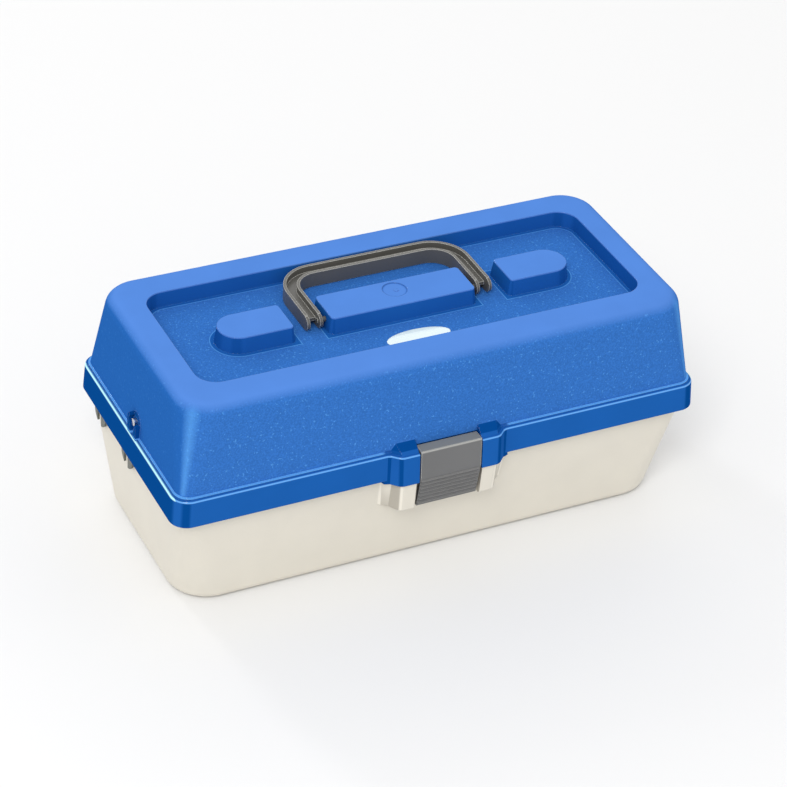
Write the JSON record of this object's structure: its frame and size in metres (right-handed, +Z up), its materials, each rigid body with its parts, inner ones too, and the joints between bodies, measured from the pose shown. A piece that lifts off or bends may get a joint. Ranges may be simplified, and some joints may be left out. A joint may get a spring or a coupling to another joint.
{
  "type": "fishing tackle cabinet",
  "caption": "Portable moulded tackle box with a hinged lid, folding bail handle in a top recess, front latch and a tray that swings out on parallel arms.",
  "frame": {"origin": "centre of the tub's flat underside, midway along its length and under the middle of its depth", "axes": "+X along the box's length to the right, -Y towards the latched front, +Z up"},
  "size_m": [0.36, 0.1815, 0.1516],
  "materials": {
    "cream_plastic": "satin moulded",
    "blue_plastic": "glossy moulded, fine grain on the walls",
    "grey_plastic": "satin moulded",
    "pale_label": "smooth, unprinted",
    "steel_pin": "bright",
    "tray_plastic": "satin moulded",
    "arm_metal": "satin",
    "peg_plastic": "satin moulded"
  },
  "bodies": {
    "base": {"base_tub": "cream_plastic", "hinge_pin_left": "steel_pin", "hinge_pin_right": "steel_pin", "peg_rear_left": "peg_plastic", "peg_front_left": "peg_plastic", "peg_rear_right": "peg_plastic", "peg_front_right": "peg_plastic"},
    "lid": {"lid_shell": "blue_plastic", "label_plate": "pale_label", "latch_pin": "steel_pin", "handle_pin_left": "steel_pin", "handle_pin_right": "steel_pin", "lid_pin_left": "steel_pin", "lid_pin_right": "steel_pin"},
    "handle": {"handle_bail": "grey_plastic"},
    "latch": {"latch": "grey_plastic"},
    "tray": {"tray_shell": "tray_plastic", "tray_divider_1": "tray_plastic", "tray_divider_2": "tray_plastic", "tray_divider_3": "tray_plastic", "tray_pin_rear_left": "steel_pin", "tray_pin_front_left": "steel_pin", "tray_pin_rear_right": "steel_pin", "tray_pin_front_right": "steel_pin"},
    "rear_arm_left": {"arm_rear_left": "arm_metal", "link_pin_left": "steel_pin"},
    "front_arm_left": {"arm_front_left": "arm_metal"},
    "link_left": {"link_left": "arm_metal"},
    "rear_arm_right": {"arm_rear_right": "arm_metal", "link_pin_right": "steel_pin"},
    "front_arm_right": {"arm_front_right": "arm_metal"},
    "link_right": {"link_right": "arm_metal"}
  },
  "joints": [
    {"name": "lid_hinge", "type": "hinge", "parent": "base", "child": "lid", "pos_m": [0, 0.0878, 0.0765], "axis": [-1, 0, 0], "range_deg": [0, 100]},
    {"name": "handle_hinge", "type": "hinge", "parent": "lid", "child": "handle", "pos_m": [0, -0.004, 0.146], "axis": [1, 0, 0], "range_deg": [0, 95]},
    {"name": "latch_hinge", "type": "hinge", "parent": "lid", "child": "latch", "pos_m": [0, -0.0824, 0.0912], "axis": [-1, 0, 0], "range_deg": [0, 70]},
    {"name": "rear_arm_left_hinge", "type": "hinge", "parent": "base", "child": "rear_arm_left", "pos_m": [0, 0.054, 0.068], "axis": [-1, 0, 0], "range_deg": [0, 100]},
    {"name": "front_arm_left_hinge", "type": "hinge", "parent": "base", "child": "front_arm_left", "pos_m": [0, 0.0068, 0.068], "axis": [-1, 0, 0], "range_deg": [0, 100]},
    {"name": "link_left_hinge", "type": "hinge", "parent": "lid", "child": "link_left", "pos_m": [0, -0.007, 0.102], "axis": [-1, 0, 0], "range_deg": [-100, 0]},
    {"name": "rear_arm_right_hinge", "type": "hinge", "parent": "base", "child": "rear_arm_right", "pos_m": [0, 0.054, 0.068], "axis": [-1, 0, 0], "range_deg": [0, 100]},
    {"name": "front_arm_right_hinge", "type": "hinge", "parent": "base", "child": "front_arm_right", "pos_m": [0, 0.0068, 0.068], "axis": [-1, 0, 0], "range_deg": [0, 100]},
    {"name": "link_right_hinge", "type": "hinge", "parent": "lid", "child": "link_right", "pos_m": [0, -0.007, 0.102], "axis": [-1, 0, 0], "range_deg": [-100, 0]},
    {"name": "tray_hinge", "type": "hinge", "parent": "rear_arm_left", "child": "tray", "pos_m": [0, 0.00379, 0.08151], "axis": [-1, 0, 0], "range_deg": [-100, 0]}
  ],
  "couplings": [
    {"joint": "rear_arm_left_hinge", "follows": "lid_hinge", "ratio": 1},
    {"joint": "front_arm_left_hinge", "follows": "lid_hinge", "ratio": 1},
    {"joint": "link_left_hinge", "follows": "lid_hinge", "ratio": -1},
    {"joint": "rear_arm_right_hinge", "follows": "lid_hinge", "ratio": 1},
    {"joint": "front_arm_right_hinge", "follows": "lid_hinge", "ratio": 1},
    {"joint": "link_right_hinge", "follows": "lid_hinge", "ratio": -1},
    {"joint": "tray_hinge", "follows": "lid_hinge", "ratio": -1}
  ]
}
